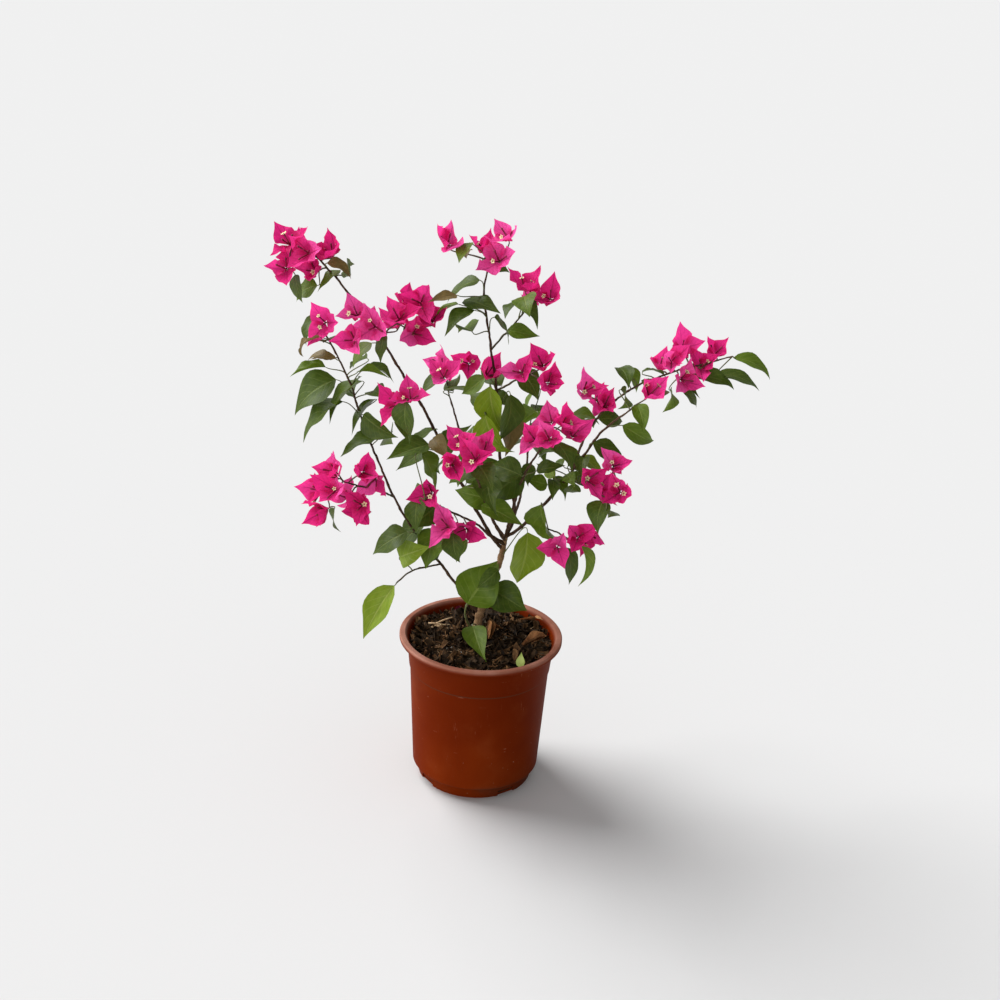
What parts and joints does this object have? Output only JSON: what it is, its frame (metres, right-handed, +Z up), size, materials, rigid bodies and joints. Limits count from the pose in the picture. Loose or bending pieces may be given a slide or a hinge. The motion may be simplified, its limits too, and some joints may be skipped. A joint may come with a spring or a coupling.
{
  "type": "potted bougainvillea bush",
  "caption": "Young flowering shrub in a round plastic nursery pot: a short leaning trunk, thin arching boughs, dark heart-shaped leaves and clusters of papery magenta bracts.",
  "frame": {"origin": "middle of the pot's flat underside, on the surface it stands on", "axes": "+Z up, +X to the right of the front view, +Y away from it"},
  "size_m": [0.4827, 0.2782, 0.599],
  "materials": {
    "pot": "terracotta-brown injection-moulded plastic, satin, dusty on the rim",
    "soil": "moist bark compost with perlite",
    "bark": "young bark, matte",
    "leaves": "dark green leaves with a soft waxy sheen",
    "blossom": "papery magenta bracts, matte"
  },
  "bodies": {
    "root": {"pot": "pot", "soil": "soil", "trunk": "bark", "bough_far_left": "bark", "bough_high_left": "bark", "bough_top": "bark", "bough_right": "bark", "bough_far_right": "bark", "bough_front_right": "bark", "bough_front_left": "bark", "bough_low_left": "bark", "bough_back_right": "bark", "bough_back_left": "bark", "branch_left_blossom": "bark", "branch_hanging_leaf": "bark", "branch_top_back": "bark", "branch_top_front": "bark", "branch_right_blossom": "bark", "branch_low_right": "bark", "leaves_low_middle": "leaves", "leaves_low_left": "leaves", "leaves_left_lower": "leaves", "leaves_left_outer": "leaves", "leaves_left_inner": "leaves", "blossom_far_left_tip": "blossom", "leaves_middle_left": "leaves", "blossom_middle_left": "blossom", "blossom_high_left_front": "blossom", "blossom_high_left": "blossom", "blossom_left_twig": "blossom", "blossom_high_left_tip": "blossom", "leaves_centre_front": "leaves", "leaves_centre": "leaves", "leaves_top_right": "leaves", "leaves_top_left": "leaves", "blossom_top_left": "blossom", "blossom_top": "blossom", "leaves_low_right": "leaves", "leaves_middle_right": "leaves", "leaves_right": "leaves", "blossom_right_tip": "blossom", "blossom_right_upper": "blossom", "leaves_right_upper": "leaves", "blossom_far_right": "blossom", "blossom_far_right_tip": "blossom", "blossom_front_right": "blossom", "leaves_front": "leaves", "blossom_front_left": "blossom", "blossom_low_front": "blossom", "blossom_low_left": "blossom", "leaves_back_right": "leaves", "leaves_back_left": "leaves", "blossom_back_left": "blossom", "blossom_left": "blossom", "leaves_hanging": "leaves", "blossom_top_back": "blossom", "blossom_top_front": "blossom", "blossom_right_front": "blossom", "blossom_low_right": "blossom"}
  },
  "joints": []
}
